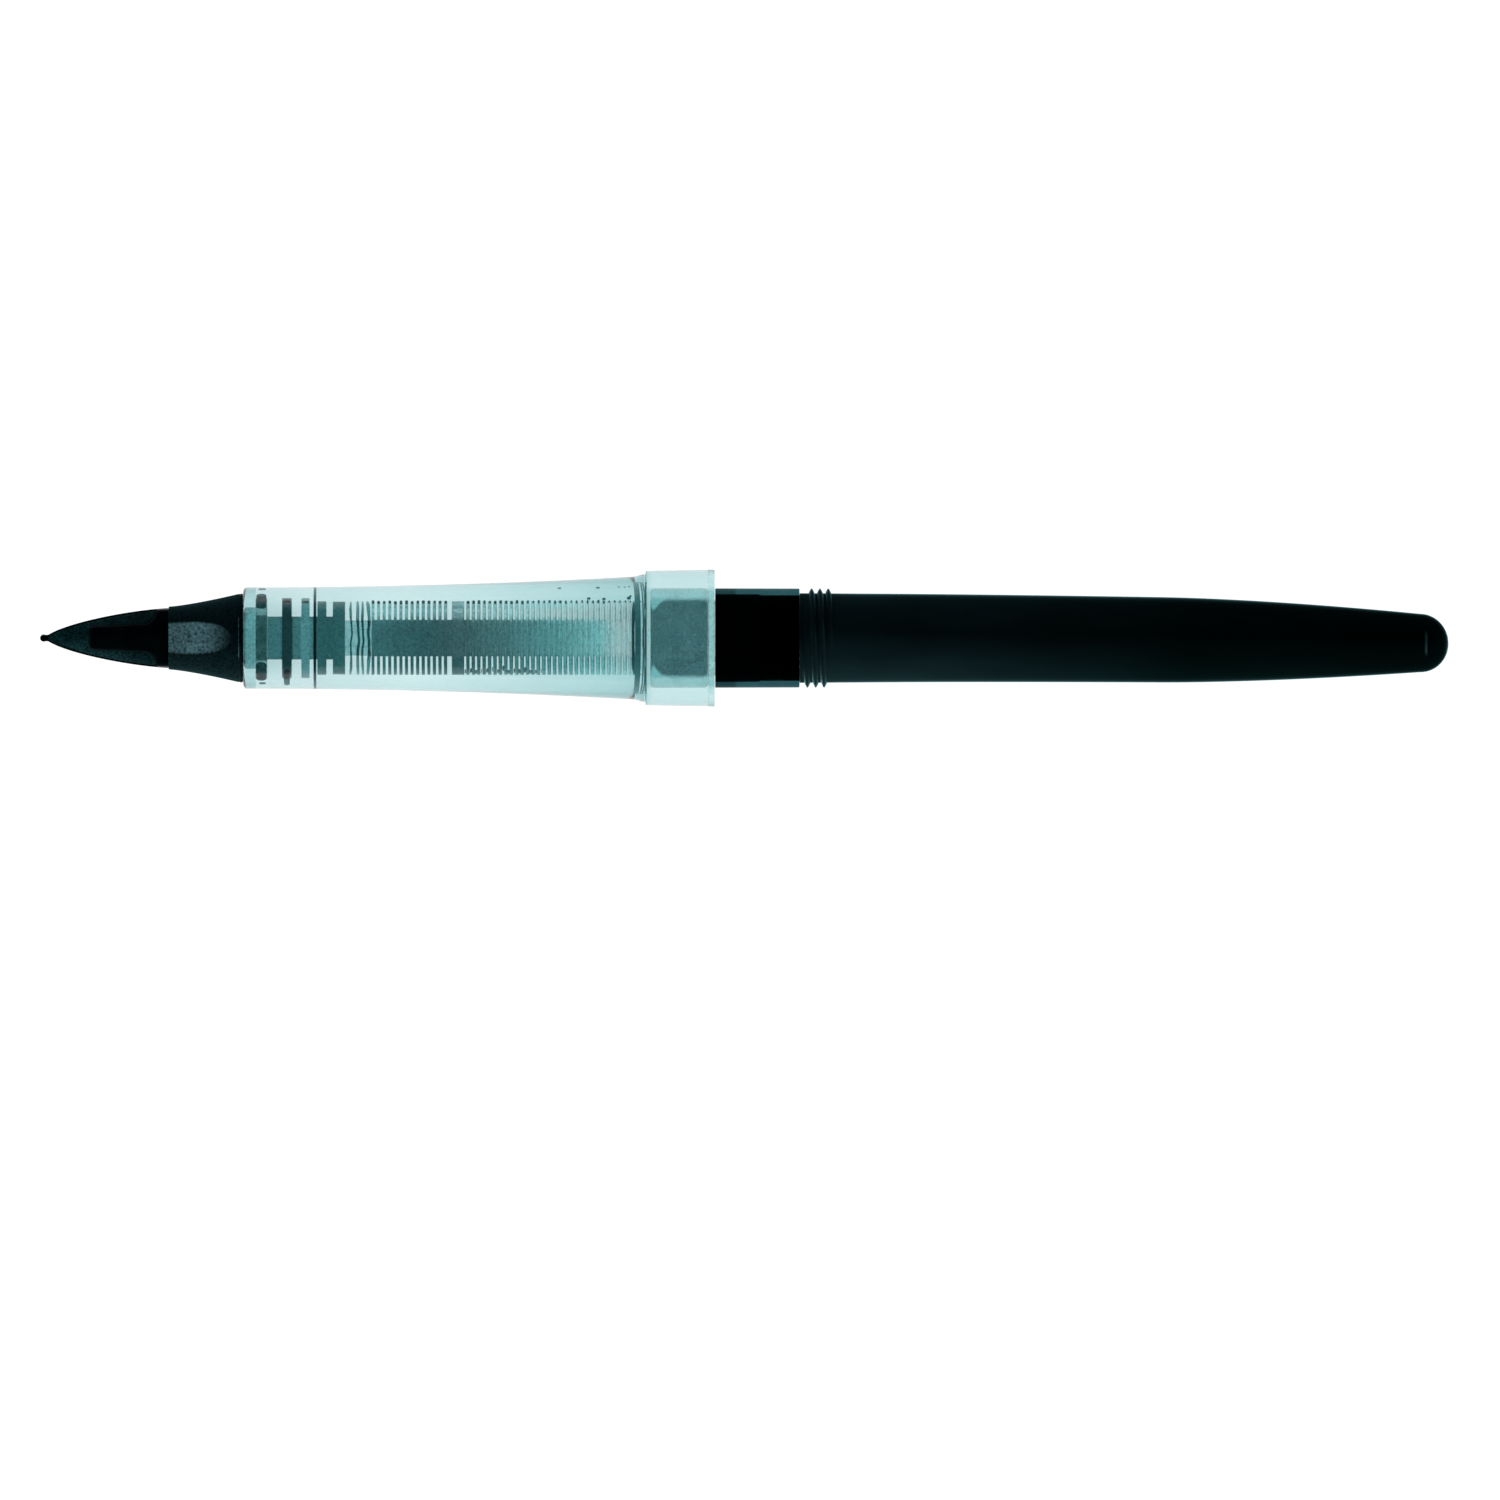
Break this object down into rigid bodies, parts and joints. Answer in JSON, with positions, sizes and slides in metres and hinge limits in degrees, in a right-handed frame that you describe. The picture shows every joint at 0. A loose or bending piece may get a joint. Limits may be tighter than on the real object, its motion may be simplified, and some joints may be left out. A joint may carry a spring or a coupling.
{
  "type": "pen ink unit",
  "caption": "Flexible plastic nib on a black holder, clear flared grip with a finned ink collector and a rear collar, and a slim dark ink tank with a screw thread.",
  "frame": {"origin": "on the pen's axis, midway between the nib's tip and the tail", "axes": "+X along the axis from the nib towards the tail, +Z out of the nib's tongue side"},
  "size_m": [0.12, 0.0116, 0.0116],
  "materials": {
    "nib_gloss": "gloss",
    "nib_matte": "grainy matte",
    "holder_black": "satin",
    "seal_rubber": "satin",
    "smoke_plastic": "satin, translucent",
    "wick_fibre": "wet fibre",
    "clear_plastic": "clear, polished",
    "frosted_plastic": "frosted",
    "tank_plastic": "gloss, dark translucent",
    "ink": "liquid"
  },
  "bodies": {
    "front_unit": {"nib_holder": "holder_black", "front_seal": "seal_rubber", "front_feed": "smoke_plastic", "collector_front": "smoke_plastic", "collector_rear": "smoke_plastic", "feed_wick": "wick_fibre", "grip": "clear_plastic", "collar_ring": "clear_plastic", "tank_joint": "frosted_plastic", "tank_seal": "seal_rubber"},
    "nib": {"nib_core": "nib_gloss", "nib_leaf_upper": "nib_matte", "nib_leaf_lower": "nib_matte", "nib_tongue_upper": "nib_gloss", "nib_tongue_lower": "nib_gloss"},
    "tank": {"tank_nozzle": "smoke_plastic", "neck_sleeve": "tank_plastic", "reservoir": "tank_plastic", "tank_plug": "smoke_plastic", "ink_charge": "ink"}
  },
  "joints": [
    {"name": "nib_flex", "type": "hinge", "parent": "front_unit", "child": "nib", "pos_m": [-0.04904, 0, 0], "axis": [0, 1, 0], "range_deg": [-6, 6], "stiffness_Nm_per_rad": 0.12},
    {"name": "tank_pull", "type": "slide", "parent": "front_unit", "child": "tank", "axis": [1, 0, 0], "range_m": [0, 0.014]}
  ]
}
